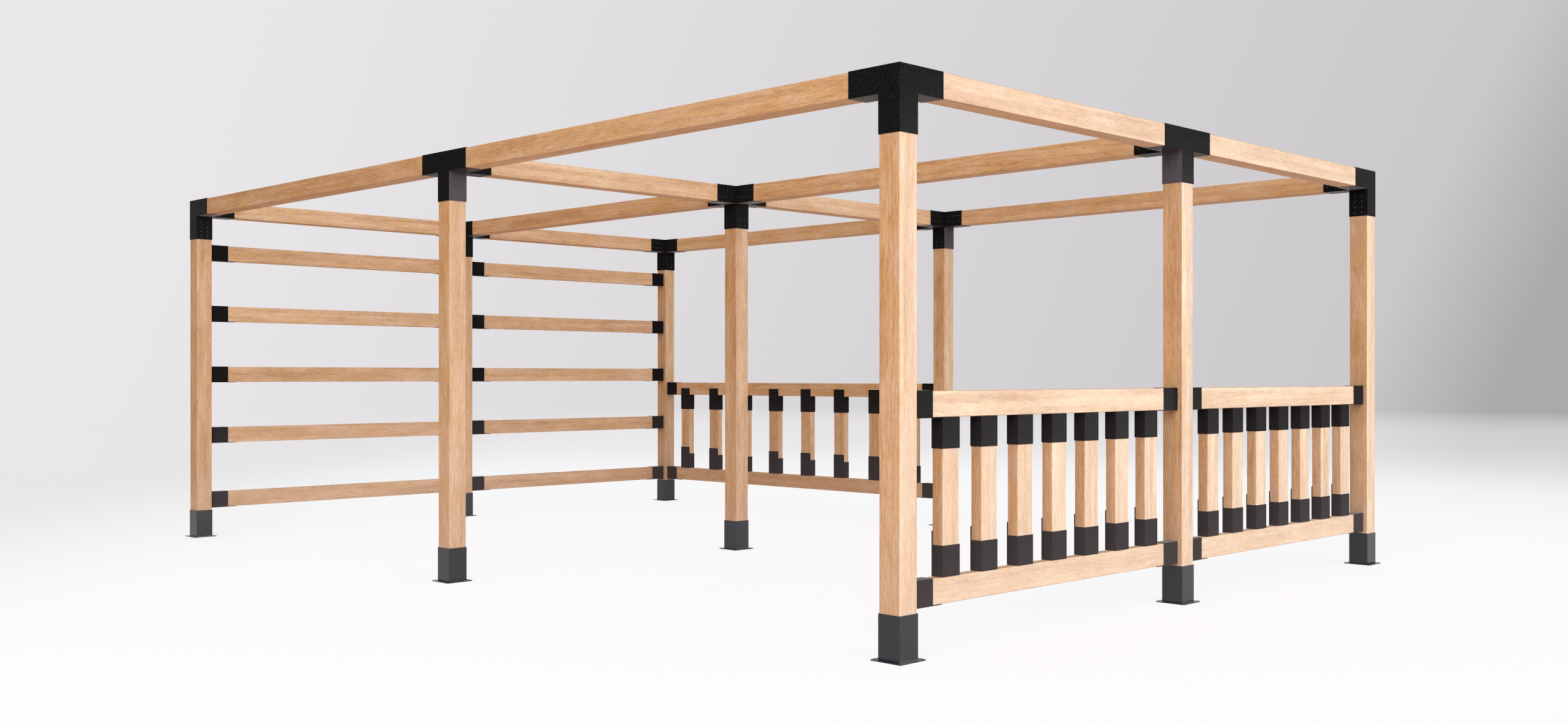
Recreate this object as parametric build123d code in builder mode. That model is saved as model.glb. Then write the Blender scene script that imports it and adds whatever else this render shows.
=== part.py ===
from build123d import *
import os

# An open pergola: nine timber posts on a grid of two bays by two, tied along every grid line by
# timber beams. Posts and beams meet in welded steel heads, and each post stands in a steel foot.
# A slatted screen closes the back, and railings close the front and half of the right side.
# Millimetres, +Z up, with the origin on the ground under the centre post.

# The grid of posts and the height over everything
bay_x = 2000.0
bay_y = 3000.0
overall_height = 2200.0

# Timber: square posts and beams, and flat rails and balusters
post_width = 100.0
post_arris = 4.0
slat_width = 100.0
slat_thickness = 50.0
slat_arris = 3.0

# Sheet steel sockets, and the play between steel and timber
plate = 2.0
fit = 0.25
overrun = 5.0

# Screw holes: columns and rows in each screwed side of a socket
screw_radius = 2.5
screw_span = 40.0
screw_columns = 2
screw_pitch = 30.0
screw_rows = 4
screw_inset = 20.0

# Foot: a plate bolted to the ground and a socket for the post
base_thickness = 4.0
base_lip = 22.75
base_corner = 8.0
anchor_radius = 5.0
foot_height = 170.0

# Head: a leg over the post and an arm over each beam
leg_length = 150.0
arm_length = 150.0
beam_gap = 0.5
post_bite = 65.0

# Rail and baluster brackets: a closed socket with one wall drawn out into a tongue
bracket_length = 120.0
tongue_length = 54.0
tongue_gap = 3.75

# Levels of the low rail and the hand rail, at the middle of their width. The screen's top brackets
# stop short of the heads by its headroom, and its lowest gap is wider than the others by the extra
low_rail_level = 237.0
hand_rail_level = 946.0
screen_headroom = 31.25
screen_low_extra = 25.0
screen_upper_rails = 4

# Balusters in each bay of railing, and how far below the hand rail they stop
front_balusters = 7
side_balusters = 8
baluster_drop = 60.0

# Sizes that follow
socket_bore = post_width + 2 * fit
socket_width = socket_bore + 2 * plate
bracket_bore_width = slat_width + 2 * fit
bracket_bore_thickness = slat_thickness + 2 * fit
bracket_width = bracket_bore_width + 2 * plate
bracket_thickness = bracket_bore_thickness + 2 * plate
base_width = socket_width + 2 * base_lip
anchor_spacing = socket_width + base_lip
beam_level = overall_height - socket_width / 2
leg_foot_level = overall_height - socket_width - leg_length
arm_reach = socket_width / 2 + arm_length
screw_middle = screw_inset + screw_pitch * (screw_rows - 1) / 2
corner_post_top = overall_height - plate - fit
inner_post_top = leg_foot_level + post_bite
rail_inset = post_width / 2 + plate + fit
screen_top_level = leg_foot_level - screen_headroom - bracket_width / 2
screen_pitch = (screen_top_level - low_rail_level - screen_low_extra) / screen_upper_rails
baluster_margin = (post_width + bracket_width) / 2 + bracket_length + tongue_length + tongue_gap

# Where each post stands, and which way its head is turned
places = {
    "front_left": (-bay_x, -bay_y),
    "front_middle": (0, -bay_y),
    "front_right": (bay_x, -bay_y),
    "middle_left": (-bay_x, 0),
    "centre": (0, 0),
    "middle_right": (bay_x, 0),
    "back_left": (-bay_x, bay_y),
    "back_middle": (0, bay_y),
    "back_right": (bay_x, bay_y),
}
corner_turns = {"front_left": 0, "front_right": 90, "back_right": 180, "back_left": 270}
tee_turns = {"front_middle": 0, "middle_right": 90, "back_middle": 180, "middle_left": 270}
cross_turns = {"centre": 0}

os.makedirs("parts", exist_ok=True)


def write_placed(shape, node, location):
    """Place a finished piece in the pergola and write it as a node."""
    with BuildPart() as placed:
        with Locations(location):
            add(shape)
    placed.part.label = node
    export_step(placed.part, f"parts/{node}.step")


def toward(turn):
    """Level direction at a turn in degrees from +X."""
    return Vector(1, 0, 0).rotate(Axis.Z, turn)


def timber_post(top):
    """A square post from the foot plate up to the given level."""
    with BuildPart() as post:
        with BuildSketch(Plane.XY.offset(base_thickness)):
            RectangleRounded(post_width, post_width, post_arris)
        extrude(amount=top - base_thickness)
    return post.part


def socket_head(arms):
    """A welded head with an arm at each turn, screwed only on the sides that carry an arm."""
    with BuildPart() as head:
        with BuildSketch(Plane.XY.offset(leg_foot_level)):
            Rectangle(socket_width, socket_width)
        extrude(amount=overall_height - leg_foot_level)
        for arm in arms:
            with BuildSketch(Plane((0, 0, beam_level), x_dir=(0, 0, 1), z_dir=toward(arm))):
                Rectangle(socket_width, socket_width)
            extrude(amount=arm_reach)

        # Hollow the leg up to its top plate, and each arm from the leg outwards
        with BuildSketch(Plane.XY.offset(leg_foot_level)):
            Rectangle(socket_bore, socket_bore)
        extrude(amount=overall_height - plate - leg_foot_level, mode=Mode.SUBTRACT)
        for arm in arms:
            with BuildSketch(Plane((0, 0, beam_level), x_dir=(0, 0, 1), z_dir=toward(arm))):
                Rectangle(socket_bore, socket_bore)
            extrude(amount=arm_reach, mode=Mode.SUBTRACT)

        # Screw holes in the leg, in the underside of each arm and in its screwed sides
        screwed = [
            Plane((0, 0, leg_foot_level + screw_middle), x_dir=(0, 0, 1), z_dir=toward(arm))
            for arm in arms
        ]
        for arm in arms:
            middle = toward(arm) * (arm_reach - screw_middle) + Vector(0, 0, beam_level)
            screwed.append(Plane(middle, x_dir=toward(arm), z_dir=(0, 0, -1)))
            for side in arms:
                if abs(side - arm) in (90, 270):
                    screwed.append(Plane(middle, x_dir=toward(arm), z_dir=toward(side)))
        for face in screwed:
            with BuildSketch(face):
                with GridLocations(screw_pitch, screw_span, screw_rows, screw_columns):
                    Circle(screw_radius)
            extrude(amount=socket_width / 2 + overrun, mode=Mode.SUBTRACT)
    return head.part


def bay_timbers(ends, levels, thickness, width, arris):
    """Level timbers along X between two ends, one at each level."""
    with BuildPart() as timbers:
        for start, end in ends:
            for level in levels:
                with BuildSketch(Plane((start, 0, level), x_dir=(0, 1, 0), z_dir=(1, 0, 0))):
                    RectangleRounded(thickness, width, arris)
                extrude(amount=end - start)
    return timbers.part


def beam_pair(bay):
    """The two beams of one grid line, cut to butt against the posts."""
    butt = post_width / 2 + beam_gap
    ends = [(-bay + butt, -butt), (butt, bay - butt)]
    return bay_timbers(ends, [beam_level], post_width, post_width, post_arris)


def rail_bracket_locations(start, bay, levels):
    """Both ends of each rail of a bay, facing into the bay from the posts."""
    seat = post_width / 2
    near_ends = [Location((start + seat, 0, level)) for level in levels]
    far_ends = [Location((start + bay - seat, 0, level), (0, 0, 180)) for level in levels]
    return near_ends + far_ends


def baluster_places(bay, count):
    """Evenly spaced balusters, clear of the rail brackets at both ends of the bay."""
    pitch = (bay - 2 * baluster_margin) / (count - 1)
    return [baluster_margin + pitch * index for index in range(count)]


# Posts: the corner posts run up to the top of their heads, the others stop low in the leg
corner_post = timber_post(corner_post_top)
inner_post = timber_post(inner_post_top)
for name, (x, y) in places.items():
    post = corner_post if name in corner_turns else inner_post
    write_placed(post, f"post_{name}", Location((x, y, 0)))

# Feet: a square socket welded to a base plate with an anchor hole in each corner
with BuildPart() as foot:
    with BuildSketch():
        RectangleRounded(base_width, base_width, base_corner)
        with GridLocations(anchor_spacing, anchor_spacing, 2, 2):
            Circle(anchor_radius, mode=Mode.SUBTRACT)
    extrude(amount=base_thickness)
    with BuildSketch(Plane.XY.offset(base_thickness)):
        Rectangle(socket_width, socket_width)
        Rectangle(socket_bore, socket_bore, mode=Mode.SUBTRACT)
    extrude(amount=foot_height)
for name, (x, y) in places.items():
    write_placed(foot.part, f"foot_{name}", Location((x, y, 0)))

# Heads: three ways at the corners, four ways along the edges, five ways in the middle
corner_head = socket_head([0, 90])
tee_head = socket_head([0, 90, 180])
cross_head = socket_head([0, 90, 180, 270])
for head, turns in ((corner_head, corner_turns), (tee_head, tee_turns), (cross_head, cross_turns)):
    for name, turn in turns.items():
        x, y = places[name]
        write_placed(head, f"head_{name}", Location((x, y, 0), (0, 0, turn)))

# Beams: three lines across and three lines along
cross_beams = beam_pair(bay_x)
for name, y in (("front", -bay_y), ("middle", 0), ("back", bay_y)):
    write_placed(cross_beams, f"{name}_beams", Location((0, y, 0)))
long_beams = beam_pair(bay_y)
for name, x in (("left", -bay_x), ("centre", 0), ("right", bay_x)):
    write_placed(long_beams, f"{name}_beams", Location((x, 0, 0), (0, 0, 90)))

# Rail bracket: its back plate lies on the post, and its tongue runs out under the rail
with BuildPart() as rail_bracket:
    with BuildSketch(Plane.YZ):
        Rectangle(bracket_thickness, bracket_width)
    extrude(amount=bracket_length)
    with BuildSketch(Plane.YZ.offset(plate)):
        Rectangle(bracket_bore_thickness, bracket_bore_width)
    extrude(amount=bracket_length, mode=Mode.SUBTRACT)
    with BuildSketch(Plane.YZ.offset(bracket_length)):
        with Locations((0, (plate - bracket_width) / 2)):
            Rectangle(bracket_thickness, plate)
    extrude(amount=tongue_length)

# Baluster bracket: a socket around the baluster, with its inner wall drawn up into a tongue
with BuildPart() as baluster_bracket:
    with BuildSketch():
        Rectangle(bracket_width, bracket_thickness)
        Rectangle(bracket_bore_width, bracket_bore_thickness, mode=Mode.SUBTRACT)
    extrude(amount=bracket_length)
    with BuildSketch(Plane.XY.offset(bracket_length)):
        with Locations((0, (bracket_thickness - plate) / 2)):
            Rectangle(bracket_width, plate)
    extrude(amount=tongue_length)
    tongue_top = bracket_length + tongue_length
    with BuildSketch(Plane((0, 0, tongue_top - screw_middle), x_dir=(0, 0, 1), z_dir=(0, 1, 0))):
        with GridLocations(screw_pitch, screw_span, screw_rows, screw_columns):
            Circle(screw_radius)
    extrude(amount=bracket_thickness / 2 + overrun, mode=Mode.SUBTRACT)

# The lower bracket of a baluster is closed by a seat plate, which is screwed to the low rail
with BuildPart() as seated_bracket:
    add(baluster_bracket.part)
    with BuildSketch():
        Rectangle(bracket_width, bracket_thickness)
    extrude(amount=plate)

# Screen across both bays of the back: flat rails from post to post, over one wider gap at the bottom
screen_bays = (-bay_x, 0)
screen_levels = [screen_top_level - screen_pitch * index for index in range(screen_upper_rails)]
screen_levels.append(low_rail_level)
rail_ends = [(start + rail_inset, start + bay_x - rail_inset) for start in screen_bays]
screen_rails = bay_timbers(rail_ends, screen_levels, slat_thickness, slat_width, slat_arris)
write_placed(screen_rails, "screen_rails", Location((0, bay_y, 0)))
with BuildPart() as screen_brackets:
    for start in screen_bays:
        with Locations(rail_bracket_locations(start, bay_x, screen_levels)):
            add(rail_bracket.part)
write_placed(screen_brackets.part, "screen_brackets", Location((0, bay_y, 0)))

# Railings: a low rail, a hand rail and balusters between them, with the tongues on the inner side
railings = (
    ("front_left", bay_x, front_balusters, Location((-bay_x, -bay_y, 0))),
    ("front_right", bay_x, front_balusters, Location((0, -bay_y, 0))),
    ("side", bay_y, side_balusters, Location((bay_x, 0, 0), (0, 0, 90))),
)
railing_levels = [low_rail_level, hand_rail_level]
low_seat = low_rail_level + slat_width / 2 + fit
high_seat = hand_rail_level - slat_width / 2 - fit
baluster_foot = low_seat + plate
baluster_top = high_seat - baluster_drop
for name, bay, count, location in railings:
    rails = bay_timbers(
        [(rail_inset, bay - rail_inset)], railing_levels, slat_thickness, slat_width, slat_arris
    )
    write_placed(rails, f"railing_{name}_rails", location)

    stations = baluster_places(bay, count)
    with BuildPart() as balusters:
        with BuildSketch(Plane.XY.offset(baluster_foot)):
            with Locations([(station, 0) for station in stations]):
                RectangleRounded(slat_width, slat_thickness, slat_arris)
        extrude(amount=baluster_top - baluster_foot)
    write_placed(balusters.part, f"railing_{name}_balusters", location)

    with BuildPart() as brackets:
        with Locations(rail_bracket_locations(0, bay, railing_levels)):
            add(rail_bracket.part)
        with Locations([(station, 0, low_seat) for station in stations]):
            add(seated_bracket.part)
        with Locations([(station, 0, high_seat - bracket_length) for station in stations]):
            add(baluster_bracket.part)
    write_placed(brackets.part, f"railing_{name}_brackets", location)
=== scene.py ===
import bmesh
import bpy
import math
import random
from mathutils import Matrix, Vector


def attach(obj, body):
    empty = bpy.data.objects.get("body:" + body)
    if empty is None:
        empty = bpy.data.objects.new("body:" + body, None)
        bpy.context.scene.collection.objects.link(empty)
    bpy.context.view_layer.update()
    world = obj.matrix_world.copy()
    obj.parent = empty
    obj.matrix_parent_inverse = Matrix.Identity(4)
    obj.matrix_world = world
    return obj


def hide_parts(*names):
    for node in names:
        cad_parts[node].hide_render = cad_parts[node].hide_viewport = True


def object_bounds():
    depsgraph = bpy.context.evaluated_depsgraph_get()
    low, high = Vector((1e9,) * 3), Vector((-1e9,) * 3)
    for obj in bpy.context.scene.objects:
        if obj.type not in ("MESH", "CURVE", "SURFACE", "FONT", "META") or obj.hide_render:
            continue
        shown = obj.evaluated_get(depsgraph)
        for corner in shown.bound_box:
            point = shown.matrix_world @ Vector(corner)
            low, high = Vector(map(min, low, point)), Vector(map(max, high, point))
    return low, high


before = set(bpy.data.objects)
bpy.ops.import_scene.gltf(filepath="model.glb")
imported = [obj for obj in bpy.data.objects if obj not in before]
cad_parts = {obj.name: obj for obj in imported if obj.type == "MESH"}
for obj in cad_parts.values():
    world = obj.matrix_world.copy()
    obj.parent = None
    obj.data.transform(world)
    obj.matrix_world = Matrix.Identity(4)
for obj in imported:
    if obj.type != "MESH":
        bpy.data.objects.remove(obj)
cad_low, cad_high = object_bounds()
scene = bpy.context.scene

# Feet. Each is a square socket of sheet steel welded to a base plate, with an anchor hole in each
# corner. The whole foot is powder coated black after welding, in a smooth satin that shows the floor.
COAT_BLACK = (0.004, 0.004, 0.0043, 1.0)
COAT_GREY = (0.019, 0.0185, 0.0195, 1.0)
COAT_SHADES = ((0.3, COAT_BLACK), (0.72, COAT_GREY))
COAT_MOTTLE = {"Scale": 110.0, "Detail": 4.0, "Roughness": 0.62}
COAT_PEEL = {"Scale": 620.0, "Detail": 2.0, "Roughness": 0.5}
COAT_PEEL_DEPTH = 0.00012
COAT_PEEL_STRENGTH = 0.35
NOISE_LOW = 0.3
NOISE_HIGH = 0.7
DUST_HEIGHT = 1.15
DUST_DRIFT = {"Scale": 170.0, "Detail": 4.0, "Roughness": 0.65}
DUST_THIN = 0.78
DUST_THICK = 1.22
FOOT_DUST = (0.013, 0.012, 0.02, 1.0)
FOOT_ROUGHNESS = (0.12, 0.14)
FOOT_SPECULAR = 0.5

# The colour sockets of a Mix node, which share their names with its other sockets
MIX_SHARE = 0
MIX_FIRST = 6
MIX_SECOND = 7
MIX_COLOUR = 2


def add_node(tree, kind, sockets=None, **settings):
    """Add a shader node, with each socket set to a value or linked from another socket."""
    node = tree.nodes.new(kind)
    for name, value in settings.items():
        setattr(node, name, value)
    for name, value in (sockets or {}).items():
        if isinstance(value, bpy.types.NodeSocket):
            tree.links.new(value, node.inputs[name])
        else:
            node.inputs[name].default_value = value
    return node


def reckon(tree, operation, *values):
    """Work out a number from values or sockets, and return its socket."""
    return add_node(tree, "ShaderNodeMath", dict(enumerate(values)), operation=operation).outputs[0]


def spread(tree, value, low, high, start=0.0, end=1.0, **settings):
    """Stretch a value from one range to another, and return its socket."""
    ranged = add_node(
        tree, "ShaderNodeMapRange",
        {"Value": value, "From Min": low, "From Max": high, "To Min": start, "To Max": end}, **settings,
    )
    return ranged.outputs["Result"]


def mix_colour(tree, share, first, second):
    """Mix two colours by a share, and return the mixed colour's socket."""
    mix = add_node(
        tree, "ShaderNodeMix",
        {MIX_SHARE: share, MIX_FIRST: first, MIX_SECOND: second}, data_type="RGBA",
    )
    return mix.outputs[MIX_COLOUR]


def shade(tree, share, stops):
    """Run a value through a colour ramp with rising stops, and return the colour's socket."""
    ramp = add_node(tree, "ShaderNodeValToRGB", {"Fac": share})
    elements = ramp.color_ramp.elements
    for element, (position, colour) in zip(elements, (stops[0], stops[-1])):
        element.position = position
        element.color = colour
    for position, colour in stops[1:-1]:
        elements.new(position).color = colour
    return ramp.outputs["Color"]


def new_group(name, inputs, outputs):
    """Start a shader node group and return its tree, its input node and its output node."""
    group = bpy.data.node_groups.new(name, "ShaderNodeTree")
    for label, kind in inputs:
        group.interface.new_socket(label, in_out="INPUT", socket_type=kind)
    for label, kind in outputs:
        group.interface.new_socket(label, in_out="OUTPUT", socket_type=kind)
    return group, group.nodes.new("NodeGroupInput"), group.nodes.new("NodeGroupOutput")


def new_material(name):
    """Start a material and return it with its tree and its Principled shader."""
    material = bpy.data.materials.new(name)
    material.use_nodes = True
    return material, material.node_tree, material.node_tree.nodes["Principled BSDF"]


def dress(node, material):
    """Give a CAD node its one finish."""
    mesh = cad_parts[node].data
    mesh.materials.clear()
    mesh.materials.append(material)


# Powder coat: a mottle of black and dark grey, and the fine pits of its skin
coat_group, coat_in, coat_out = new_group(
    "powder_coat",
    [("Position", "NodeSocketVector")],
    [("Mottle", "NodeSocketFloat"), ("Peel", "NodeSocketFloat")],
)
coat_place = coat_in.outputs["Position"]
mottle = add_node(coat_group, "ShaderNodeTexNoise", {"Vector": coat_place, **COAT_MOTTLE})
peel = add_node(coat_group, "ShaderNodeTexNoise", {"Vector": coat_place, **COAT_PEEL})
coat_group.links.new(mottle.outputs["Fac"], coat_out.inputs["Mottle"])
coat_group.links.new(peel.outputs["Fac"], coat_out.inputs["Peel"])

# Fine pale dust off the ground, thinning out with height. On the coated steel the same lightening
# is also a painted reflection of the bright floor.
dust_group, dust_in, dust_out = new_group(
    "ground_dust", [("Position", "NodeSocketVector")], [("Dust", "NodeSocketFloat")],
)
dust_place = dust_in.outputs["Position"]
level = add_node(dust_group, "ShaderNodeSeparateXYZ", {"Vector": dust_place})
low_down = spread(
    dust_group, level.outputs["Z"], 0.0, DUST_HEIGHT, 1.0, 0.0, interpolation_type="SMOOTHSTEP",
)
drift = add_node(dust_group, "ShaderNodeTexNoise", {"Vector": dust_place, **DUST_DRIFT})
patchy = spread(dust_group, drift.outputs["Fac"], NOISE_LOW, NOISE_HIGH, DUST_THIN, DUST_THICK)
dust_share = reckon(dust_group, "MULTIPLY", low_down, patchy)
dust_group.links.new(dust_share, dust_out.inputs["Dust"])


def coated_steel(name, dust_and_gleam_grey, roughness):
    """Black powder coated steel, with dust and a painted floor reflection near the ground, and its
    Principled shader.
    """
    material, tree, shader = new_material(name)
    place = add_node(tree, "ShaderNodeTexCoord").outputs["Object"]
    coat = add_node(tree, "ShaderNodeGroup", {"Position": place}, node_tree=coat_group)
    coat_colour = shade(tree, coat.outputs["Mottle"], COAT_SHADES)
    coat_gloss = spread(tree, coat.outputs["Mottle"], NOISE_LOW, NOISE_HIGH, *roughness)
    coat_bump = add_node(
        tree, "ShaderNodeBump",
        {"Height": coat.outputs["Peel"], "Strength": COAT_PEEL_STRENGTH, "Distance": COAT_PEEL_DEPTH},
    )
    dust = add_node(tree, "ShaderNodeGroup", {"Position": place}, node_tree=dust_group)
    dusted = mix_colour(tree, dust.outputs["Dust"], coat_colour, dust_and_gleam_grey)
    tree.links.new(dusted, shader.inputs["Base Color"])
    tree.links.new(coat_gloss, shader.inputs["Roughness"])
    tree.links.new(coat_bump.outputs["Normal"], shader.inputs["Normal"])
    return material, shader


foot_steel, shader = coated_steel("foot_steel", FOOT_DUST, FOOT_ROUGHNESS)
shader.inputs["Specular IOR Level"].default_value = FOOT_SPECULAR
for node in sorted(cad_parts):
    if node.startswith("foot_"):
        dress(node, foot_steel)

# Posts. Planed square softwood, oiled to a warm honey colour, with its arrises eased by hand.
# Each one stands on its foot plate and runs up into the leg of its head.
POST_ARRIS = 0.004
ARRIS_STEPS = 4
ARRIS_ANGLE = math.radians(50)
WELD_DISTANCE = 0.00001
ORDER_DIGITS = 4
PITH_NEAR = 0.045
PITH_FAR = 0.16
GRAIN_STRETCH = 40.0
GRAIN_SEED = 11
grain_draw = random.Random(GRAIN_SEED)


def solid_boxes(node):
    """Lowest and highest corner of each timber in a CAD node, in a fixed order."""
    mesh = bmesh.new()
    mesh.from_mesh(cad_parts[node].data)
    bmesh.ops.remove_doubles(mesh, verts=mesh.verts[:], dist=WELD_DISTANCE)
    unseen = set(mesh.verts)
    boxes = []
    while unseen:
        island = [unseen.pop()]
        for vert in island:
            for edge in vert.link_edges:
                other = edge.other_vert(vert)
                if other in unseen:
                    unseen.remove(other)
                    island.append(other)
        low = Vector([min(vert.co[axis] for vert in island) for axis in range(3)])
        high = Vector([max(vert.co[axis] for vert in island) for axis in range(3)])
        boxes.append((low, high))
    mesh.free()
    return sorted(boxes, key=lambda box: tuple(round(value, ORDER_DIGITS) for value in box[0]))


def rounded_section(width, depth, arris):
    """Points round a rectangle with eased corners, centred on zero."""
    points = []
    for turn, side, up in ((0, 1, 1), (1, -1, 1), (2, -1, -1), (3, 1, -1)):
        for step in range(ARRIS_STEPS + 1):
            angle = (turn + step / ARRIS_STEPS) * math.pi / 2
            x = side * (width / 2 - arris) + arris * math.cos(angle)
            y = up * (depth / 2 - arris) + arris * math.sin(angle)
            points.append((x, y))
    return points


def plane_timbers(node, arris):
    """Replace a CAD node of timbers with planed bars that know their own grain."""
    mesh = bmesh.new()
    grain = mesh.verts.layers.float_vector.new("grain")
    tone = mesh.verts.layers.float.new("tone")
    for low, high in solid_boxes(node):
        size = high - low
        middle = (low + high) / 2
        run = max(range(3), key=lambda axis: size[axis])
        first, second = (run + 1) % 3, (run + 2) % 3
        pith_angle = grain_draw.uniform(0, 2 * math.pi)
        pith_reach = grain_draw.uniform(PITH_NEAR, PITH_FAR)
        start = grain_draw.uniform(0, GRAIN_STRETCH)
        bar_tone = grain_draw.uniform(-1, 1)
        rings = []
        for end in (-1, 1):
            ring = []
            for x, y in rounded_section(size[first], size[second], arris):
                place = middle.copy()
                place[run] += end * size[run] / 2
                place[first] += x
                place[second] += y
                vert = mesh.verts.new(place)
                vert[grain] = (
                    start + end * size[run] / 2,
                    x + pith_reach * math.cos(pith_angle),
                    y + pith_reach * math.sin(pith_angle),
                )
                vert[tone] = bar_tone
                ring.append(vert)
            rings.append(ring)
        count = len(rings[0])
        for index in range(count):
            after = (index + 1) % count
            face = mesh.faces.new((rings[0][index], rings[0][after], rings[1][after], rings[1][index]))
            face.smooth = True
        mesh.faces.new(reversed(rings[0]))
        mesh.faces.new(rings[1])
    bmesh.ops.recalc_face_normals(mesh, faces=mesh.faces[:])
    data = bpy.data.meshes.new(f"{node}_planed")
    mesh.to_mesh(data)
    mesh.free()
    data.set_sharp_from_angle(angle=ARRIS_ANGLE)
    data.materials.append(timber)
    piece = bpy.data.objects.new(f"{node}_planed", data)
    scene.collection.objects.link(piece)
    piece.modifiers.new("flat_faces", "WEIGHTED_NORMAL").keep_sharp = True
    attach(piece, "root")
    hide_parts(node)


# The wood's figure: wandering fibres and faint year rings about the pith, broad bands of colour,
# and short dark pores, all drawn out along the grain. Each part of the figure has its number of
# features in a metre along and across the grain, then its noise's detail and roughness.
WANDER = (1.6, 9.0, 2.0, 0.5)
BAND = (1.1, 34.0, 3.0, 0.5)
HUE = (4.5, 75.0, 3.0, 0.6)
PATCH = (4.0, 13.0, 3.0, 0.55)
STREAK = (15.0, 215.0, 3.0, 0.6)
FIBRE = (44.0, 560.0, 2.0, 0.6)
PORE = (42.0, 360.0, 1.0, 0.4)
NOISE_MIDDLE = (0.5, 0.5, 0.5)
WANDER_REACH = (0.0, 0.03, 0.03)
ACROSS_GRAIN = (0.0, 1.0, 1.0)
YEAR_WIDTH = 0.0075
BLACK = (0.0, 0.0, 0.0, 1.0)
WHITE = (1.0, 1.0, 1.0, 1.0)
YEAR_SHADES = ((0.15, BLACK), (0.9, WHITE), (1.0, BLACK))
PORE_EDGE = 0.66
PORE_CORE = 0.74
grain_group, grain_in, grain_out = new_group(
    "timber_grain",
    [("Grain", "NodeSocketVector")],
    [
        ("Band", "NodeSocketFloat"), ("Streak", "NodeSocketFloat"), ("Fibre", "NodeSocketFloat"),
        ("Ring", "NodeSocketFloat"), ("Pore", "NodeSocketFloat"), ("Hue", "NodeSocketFloat"),
        ("Patch", "NodeSocketFloat"),
    ],
)


def grain_noise(vector, along, across, detail, roughness):
    """Noise drawn out along the grain."""
    stretched = add_node(
        grain_group, "ShaderNodeVectorMath",
        {0: vector, 1: (along, across, across)}, operation="MULTIPLY",
    )
    return add_node(
        grain_group, "ShaderNodeTexNoise",
        {"Vector": stretched.outputs[0], "Scale": 1.0, "Detail": detail, "Roughness": roughness},
    )


straight = grain_in.outputs["Grain"]
wander = grain_noise(straight, *WANDER)
centred = add_node(
    grain_group, "ShaderNodeVectorMath",
    {0: wander.outputs["Color"], 1: NOISE_MIDDLE}, operation="SUBTRACT",
)
pushed = add_node(
    grain_group, "ShaderNodeVectorMath",
    {0: centred.outputs[0], 1: WANDER_REACH, 2: straight}, operation="MULTIPLY_ADD",
)
wavy = pushed.outputs[0]
radial = add_node(
    grain_group, "ShaderNodeVectorMath", {0: wavy, 1: ACROSS_GRAIN}, operation="MULTIPLY",
)
reach = add_node(grain_group, "ShaderNodeVectorMath", {0: radial.outputs[0]}, operation="LENGTH")
years = reckon(grain_group, "DIVIDE", reach.outputs["Value"], YEAR_WIDTH)
ring = shade(grain_group, reckon(grain_group, "FRACT", years), YEAR_SHADES)
pore_mask = spread(grain_group, grain_noise(wavy, *PORE).outputs["Fac"], PORE_EDGE, PORE_CORE)
grain_group.links.new(grain_noise(wavy, *BAND).outputs["Fac"], grain_out.inputs["Band"])
grain_group.links.new(grain_noise(wavy, *STREAK).outputs["Fac"], grain_out.inputs["Streak"])
grain_group.links.new(grain_noise(wavy, *FIBRE).outputs["Fac"], grain_out.inputs["Fibre"])
grain_group.links.new(ring, grain_out.inputs["Ring"])
grain_group.links.new(pore_mask, grain_out.inputs["Pore"])
grain_group.links.new(grain_noise(wavy, *HUE).outputs["Fac"], grain_out.inputs["Hue"])
grain_group.links.new(grain_noise(wavy, *PATCH).outputs["Fac"], grain_out.inputs["Patch"])

# Honey coloured planed timber, paler along the light streaks and rosy in patches, with a satin oil
# finish that takes a little dust near the ground
FIGURE_SHARES = (("Band", 0.5), ("Streak", 0.72), ("Fibre", 0.6), ("Patch", 0.55), ("Ring", -0.12))
TONE_SHARE = 0.05
FIGURE_DARK = 0.89
FIGURE_PALE = 1.37
HONEY = (
    (0.0, (0.565, 0.265, 0.095, 1.0)),
    (0.5, (0.785, 0.43, 0.175, 1.0)),
    (1.0, (0.91, 0.58, 0.29, 1.0)),
)
ROSY = (
    (0.0, (0.55, 0.26, 0.115, 1.0)),
    (0.5, (0.73, 0.4, 0.205, 1.0)),
    (1.0, (0.89, 0.57, 0.34, 1.0)),
)
ROSY_FROM = 0.84
ROSY_FULL = 1.14
PORE_BROWN = (0.3, 0.15, 0.08, 1.0)
PORE_SHARE = 0.5
TIMBER_ROUGHNESS = (0.76, 0.62)
TIMBER_SPECULAR = 0.45
FIBRE_STRENGTH = 0.25
FIBRE_DEPTH = 0.0004
TIMBER_DUST = (0.8, 0.75, 0.74, 1.0)
TIMBER_DUST_SHARE = 0.13
timber, tree, shader = new_material("timber")
grain_place = add_node(tree, "ShaderNodeAttribute", attribute_name="grain")
bar_tone = add_node(tree, "ShaderNodeAttribute", attribute_name="tone")
figure = add_node(
    tree, "ShaderNodeGroup", {"Grain": grain_place.outputs["Vector"]}, node_tree=grain_group,
)
paleness = reckon(tree, "MULTIPLY", bar_tone.outputs["Fac"], TONE_SHARE)
for output, share in FIGURE_SHARES:
    paleness = reckon(tree, "MULTIPLY_ADD", figure.outputs[output], share, paleness)
pale_share = spread(tree, paleness, FIGURE_DARK, FIGURE_PALE)
hue_sum = reckon(tree, "ADD", figure.outputs["Hue"], figure.outputs["Patch"])
wood_colour = mix_colour(
    tree, spread(tree, hue_sum, ROSY_FROM, ROSY_FULL),
    shade(tree, pale_share, HONEY), shade(tree, pale_share, ROSY),
)
pore_share = reckon(tree, "MULTIPLY", figure.outputs["Pore"], PORE_SHARE)
pored = mix_colour(tree, pore_share, wood_colour, PORE_BROWN)
wood_place = add_node(tree, "ShaderNodeTexCoord")
wood_dust = add_node(
    tree, "ShaderNodeGroup", {"Position": wood_place.outputs["Object"]}, node_tree=dust_group,
)
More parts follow.
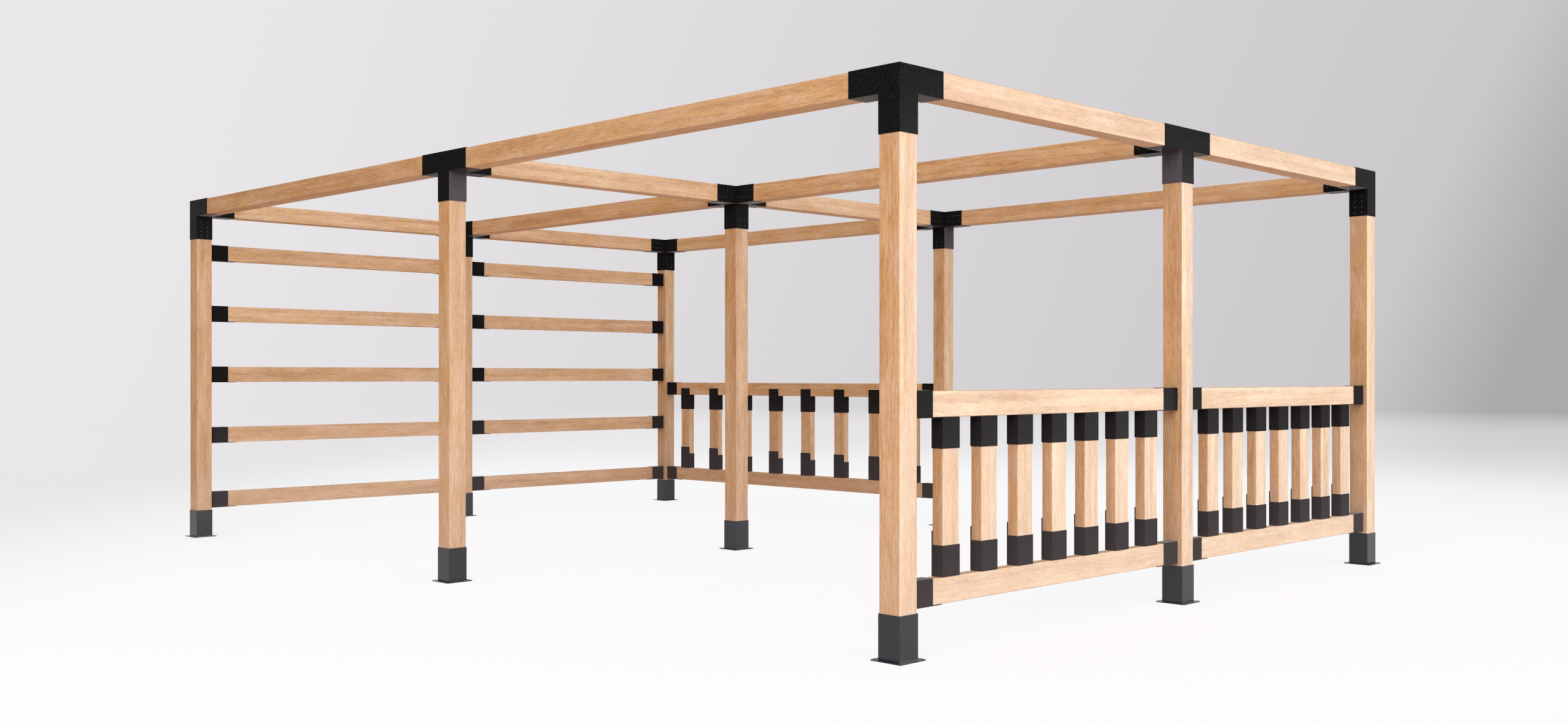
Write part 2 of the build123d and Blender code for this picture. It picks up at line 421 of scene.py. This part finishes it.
wood_dust_share = reckon(tree, "MULTIPLY", wood_dust.outputs["Dust"], TIMBER_DUST_SHARE)
wood_dusted = mix_colour(tree, wood_dust_share, pored, TIMBER_DUST)
wood_gloss = spread(tree, figure.outputs["Band"], NOISE_LOW, NOISE_HIGH, *TIMBER_ROUGHNESS)
wood_bump = add_node(
    tree, "ShaderNodeBump",
    {"Height": figure.outputs["Fibre"], "Strength": FIBRE_STRENGTH, "Distance": FIBRE_DEPTH},
)
tree.links.new(wood_dusted, shader.inputs["Base Color"])
tree.links.new(wood_gloss, shader.inputs["Roughness"])
tree.links.new(wood_bump.outputs["Normal"], shader.inputs["Normal"])
shader.inputs["Specular IOR Level"].default_value = TIMBER_SPECULAR

for node in sorted(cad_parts):
    if node.startswith("post_"):
        plane_timbers(node, POST_ARRIS)

# Heads. Welded sheet steel crosses, tees and corners: a leg over the post and an arm over each
# beam, closed on top, drilled for screws on the inner sides and coated in a deeper matt black. The
# two screw plates on a tee's leg are painted a cool grey, a painted reflection of the bright floor.
SOCKET_WIDTH = 0.1045
# Partly dust near the ground, partly a painted reflection of the bright floor
MATT_DUST_AND_GLEAM = (0.086, 0.084, 0.1, 1.0)
MATT_ROUGHNESS = (0.2, 0.3)
MATT_SPECULAR = 0.005
MATT_SHEEN = 1.0
MATT_SHEEN_ROUGHNESS = 0.25
# Painted reflection of the bright floor, laid on the tee legs' screw plates as a cool grey
PLATE_REFLECTION_GREY = (0.12, 0.108, 0.126, 1.0)
PLATE_FACING = 0.9
TEE_SHEEN = 0.25
ALONG_SIDES = (0.0, 1.0, 0.0)
ALONG_ENDS = (1.0, 0.0, 0.0)
arm_underside = cad_high[2] - SOCKET_WIDTH
black_steel, shader = coated_steel("black_steel", MATT_DUST_AND_GLEAM, MATT_ROUGHNESS)
shader.inputs["Specular IOR Level"].default_value = MATT_SPECULAR
shader.inputs["Sheen Weight"].default_value = MATT_SHEEN
shader.inputs["Sheen Roughness"].default_value = MATT_SHEEN_ROUGHNESS


def tee_steel(name, direction):
    """The heads' coated steel, with a painted grey reflection on the leg's two faces square to a
    direction.
    """
    material = black_steel.copy()
    material.name = name
    tree = material.node_tree
    shader = tree.nodes["Principled BSDF"]
    coat_colour = shader.inputs["Base Color"].links[0].from_socket
    surface = add_node(tree, "ShaderNodeTexCoord")
    height = add_node(tree, "ShaderNodeSeparateXYZ", {"Vector": surface.outputs["Object"]})
    below = reckon(tree, "LESS_THAN", height.outputs["Z"], arm_underside)
    facing = add_node(
        tree, "ShaderNodeVectorMath",
        {0: surface.outputs["Normal"], 1: direction}, operation="DOT_PRODUCT",
    )
    square_on = reckon(tree, "ABSOLUTE", facing.outputs["Value"])
    flat = reckon(tree, "GREATER_THAN", square_on, PLATE_FACING)
    plate = reckon(tree, "MULTIPLY", below, flat)
    # The plates below the arms get the painted grey reflection of the floor
    plate_reflection_colour = mix_colour(tree, plate, coat_colour, PLATE_REFLECTION_GREY)
    tree.links.new(plate_reflection_colour, shader.inputs["Base Color"])
    shader.inputs["Sheen Weight"].default_value = TEE_SHEEN
    return material


side_tee_steel = tee_steel("side_tee_steel", ALONG_SIDES)
end_tee_steel = tee_steel("end_tee_steel", ALONG_ENDS)
head_finish = {
    "head_middle_left": side_tee_steel, "head_middle_right": side_tee_steel,
    "head_front_middle": end_tee_steel, "head_back_middle": end_tee_steel,
}
for node in sorted(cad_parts):
    if node.startswith("head_"):
        dress(node, head_finish.get(node, black_steel))

# Beams. Two lengths of square timber on each of the six grid lines, planed and oiled like the posts.
# Each end sits in an arm of a head and butts against the post inside it.
for node in sorted(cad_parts):
    if node.endswith("_beams"):
        plane_timbers(node, POST_ARRIS)

# Screen. Flat rails on edge across the back, each end held in a steel socket on the post whose
# lower wall runs on as a tongue under the rail. The sockets' black is duller than the heads'.
SLAT_ARRIS = 0.003
# Partly dust near the ground, partly a painted reflection of the bright floor
SOCKET_DUST_AND_GLEAM = (0.086, 0.074, 0.08, 1.0)
SOCKET_SPECULAR = 0.002
SOCKET_SHEEN = 0.6
socket_steel, shader = coated_steel("socket_steel", SOCKET_DUST_AND_GLEAM, MATT_ROUGHNESS)
shader.inputs["Specular IOR Level"].default_value = SOCKET_SPECULAR
shader.inputs["Sheen Weight"].default_value = SOCKET_SHEEN
shader.inputs["Sheen Roughness"].default_value = MATT_SHEEN_ROUGHNESS
plane_timbers("screen_rails", SLAT_ARRIS)
dress("screen_brackets", socket_steel)

# Railings. A low rail and a hand rail in the same sockets, with flat balusters between them. Each
# baluster is held at both ends in a steel socket whose tongue stands on the inner side.
for side in ("front_left", "front_right", "side"):
    plane_timbers(f"railing_{side}_rails", SLAT_ARRIS)
    plane_timbers(f"railing_{side}_balusters", SLAT_ARRIS)
    dress(f"railing_{side}_brackets", socket_steel)

# Studio floor. A pale matt disc that fades out with distance, so that the wall colour of the room
# takes over. It throws a warm light back at the pergola. For the eye it glows, which keeps shadows
# on it faint, and it glows less on the far left.
FLOOR_RADIUS = 40.0
FLOOR_STEPS = 96
FLOOR_FADE = ((5.0, 1.0), (8.0, 0.9), (12.0, 0.6), (16.0, 0.47), (24.0, 0.4), (FLOOR_RADIUS, 0.0))
FLOOR_ROUGHNESS = 0.8
FLOOR_BOUNCE = (0.65, 0.515, 0.46, 1.0)
FLOOR_COLOUR = (0.195, 0.155, 0.138, 1.0)
FLOOR_GLOW = (0.828, 0.844, 0.857, 1.0)
FLOOR_RIGHTWARD = (0.706, -0.708, 0.0)
FLOOR_DIM_FAR = -6.5
FLOOR_DIM_NEAR = -2.5
FLOOR_DIM = 0.83
floor_mesh = bmesh.new()
bmesh.ops.create_circle(floor_mesh, cap_ends=True, segments=FLOOR_STEPS, radius=FLOOR_RADIUS)
floor_data = bpy.data.meshes.new("studio_floor")
floor_mesh.to_mesh(floor_data)
floor_mesh.free()
studio_floor = bpy.data.objects.new("studio_floor", floor_data)
scene.collection.objects.link(studio_floor)


def seen_by_eye(tree):
    """One for rays that show a surface to the camera, also in a mirror or through glass."""
    path = add_node(tree, "ShaderNodeLightPath")
    direct = reckon(tree, "MAXIMUM", path.outputs["Is Camera Ray"], path.outputs["Is Glossy Ray"])
    return reckon(tree, "MAXIMUM", direct, path.outputs["Is Transmission Ray"])


floor_paint, tree, shader = new_material("studio_floor")
shader.inputs["Roughness"].default_value = FLOOR_ROUGHNESS
shader.inputs["Specular IOR Level"].default_value = 0.0
shader.inputs["Emission Color"].default_value = FLOOR_GLOW
floor_place = add_node(tree, "ShaderNodeTexCoord").outputs["Object"]
floor_reach = add_node(tree, "ShaderNodeVectorMath", {0: floor_place}, operation="LENGTH")
floor_fade = shade(
    tree, reckon(tree, "DIVIDE", floor_reach.outputs["Value"], FLOOR_RADIUS),
    [(radius / FLOOR_RADIUS, (solid, solid, solid, 1.0)) for radius, solid in FLOOR_FADE],
)
floor_side = add_node(
    tree, "ShaderNodeVectorMath", {0: floor_place, 1: FLOOR_RIGHTWARD}, operation="DOT_PRODUCT",
)
floor_dim = spread(
    tree, floor_side.outputs["Value"], FLOOR_DIM_FAR, FLOOR_DIM_NEAR, FLOOR_DIM, 1.0,
    interpolation_type="SMOOTHSTEP",
)
floor_seen = seen_by_eye(tree)
floor_shade = mix_colour(tree, floor_seen, FLOOR_BOUNCE, FLOOR_COLOUR)
floor_glow = reckon(tree, "MULTIPLY", floor_seen, floor_dim)
tree.links.new(floor_shade, shader.inputs["Base Color"])
tree.links.new(floor_glow, shader.inputs["Emission Strength"])
tree.links.new(floor_fade, shader.inputs["Alpha"])
floor_data.materials.append(floor_paint)

# Studio room. A plain pale grey wall all round, brighter on the left of the view. A soft white
# ceiling gives the pergola its even light from above.
WALL_LEFTWARD = (-0.706, 0.708, 0.35)
WALL_RIGHT = -0.5
WALL_LEFT = 0.5
WALL_SHADES = (
    (0.06, (0.41, 0.395, 0.41, 1.0)),
    (0.14, (0.6, 0.58, 0.6, 1.0)),
    (0.5, (0.702, 0.68, 0.7, 1.0)),
    (0.92, (0.822, 0.797, 0.82, 1.0)),
)
CEILING_LIGHT = 0.815
world = bpy.data.worlds.new("studio_room")
scene.world = world
world.use_nodes = True
tree = world.node_tree
tree.nodes.clear()
ray = add_node(tree, "ShaderNodeTexCoord").outputs["Generated"]
leftward = add_node(
    tree, "ShaderNodeVectorMath", {0: ray, 1: WALL_LEFTWARD}, operation="DOT_PRODUCT",
)
wall_share = spread(tree, leftward.outputs["Value"], WALL_RIGHT, WALL_LEFT)
walls = add_node(
    tree, "ShaderNodeBackground", {"Color": shade(tree, wall_share, WALL_SHADES), "Strength": 1.0},
)
upward = add_node(tree, "ShaderNodeSeparateXYZ", {"Vector": ray})
overhead = reckon(tree, "MAXIMUM", upward.outputs["Z"], 0.0)
ceiling_glow = reckon(tree, "MULTIPLY", overhead, CEILING_LIGHT)
ceiling = add_node(tree, "ShaderNodeBackground", {"Color": WHITE, "Strength": ceiling_glow})
room = add_node(
    tree, "ShaderNodeMixShader", {0: seen_by_eye(tree), 1: ceiling.outputs[0], 2: walls.outputs[0]},
)
add_node(tree, "ShaderNodeOutputWorld", {"Surface": room.outputs[0]})

# Lights. A very large softbox stands far off before the front, a long card nearer to it only
# shows as sheen on the wood and steel, and a smaller softbox stands off the near left corner.
FRONT_PLACE = Vector((1.0, -22.0, 6.0))
FRONT_AIM = Vector((0.0, 0.0, 1.0))
FRONT_SIZE = (16.0, 10.0)
FRONT_RADIANCE = 3.05
CARD_PLACE = Vector((2.0, -7.5, 1.6))
CARD_AIM = Vector((2.0, -3.0, 1.6))
CARD_SIZE = (12.0, 3.2)
CARD_RADIANCE = 29.9
CARD_COLOUR = (0.93, 1.0, 0.93)
LEFT_PLACE = Vector((-13.0, -7.5, 6.0))
LEFT_AIM = Vector((-1.0, -1.5, 1.0))
LEFT_SIZE = (10.0, 6.0)
LEFT_RADIANCE = 4.55


def softbox(name, place, aim, size, radiance):
    """Hang a rectangular softbox, bright by its radiance."""
    width, height = size
    data = bpy.data.lights.new(name, "AREA")
    data.shape = "RECTANGLE"
    data.size = width
    data.size_y = height
    data.energy = radiance * math.pi * width * height
    lamp = bpy.data.objects.new(name, data)
    lamp.location = place
    lamp.rotation_euler = (aim - place).to_track_quat("-Z", "Y").to_euler()
    scene.collection.objects.link(lamp)
    return lamp


softbox("front_softbox", FRONT_PLACE, FRONT_AIM, FRONT_SIZE, FRONT_RADIANCE)
sheen_card = softbox("sheen_card", CARD_PLACE, CARD_AIM, CARD_SIZE, CARD_RADIANCE)
sheen_card.data.color = CARD_COLOUR
sheen_card.visible_diffuse = False
sheen_card.data.cycles.use_multiple_importance_sampling = False
softbox("left_softbox", LEFT_PLACE, LEFT_AIM, LEFT_SIZE, LEFT_RADIANCE)

# Camera. It stands level, about a metre up, and looks across the nearest corner of the pergola. A
# small shift of its lens lowers the horizon in the picture and keeps the posts upright.
IMAGE_WIDTH = 2560
FOCAL_PIXELS = 2412.8
HORIZON_DROP = 23.32
SENSOR_WIDTH = 36.0
FAR_CLIP = 200.0
VIEW_TURN = math.radians(-45.077)
EYE = Vector((-6.167, -6.560, 1.053))
camera_data = bpy.data.cameras.new("eye")
camera_data.sensor_fit = "HORIZONTAL"
camera_data.sensor_width = SENSOR_WIDTH
camera_data.lens = SENSOR_WIDTH * FOCAL_PIXELS / IMAGE_WIDTH
camera_data.shift_y = HORIZON_DROP / IMAGE_WIDTH
camera_data.clip_end = FAR_CLIP
camera = bpy.data.objects.new("eye", camera_data)
camera.location = EYE
camera.rotation_euler = (math.pi / 2, 0.0, VIEW_TURN)
scene.collection.objects.link(camera)
scene.camera = camera
scene.view_settings.view_transform = "Standard"
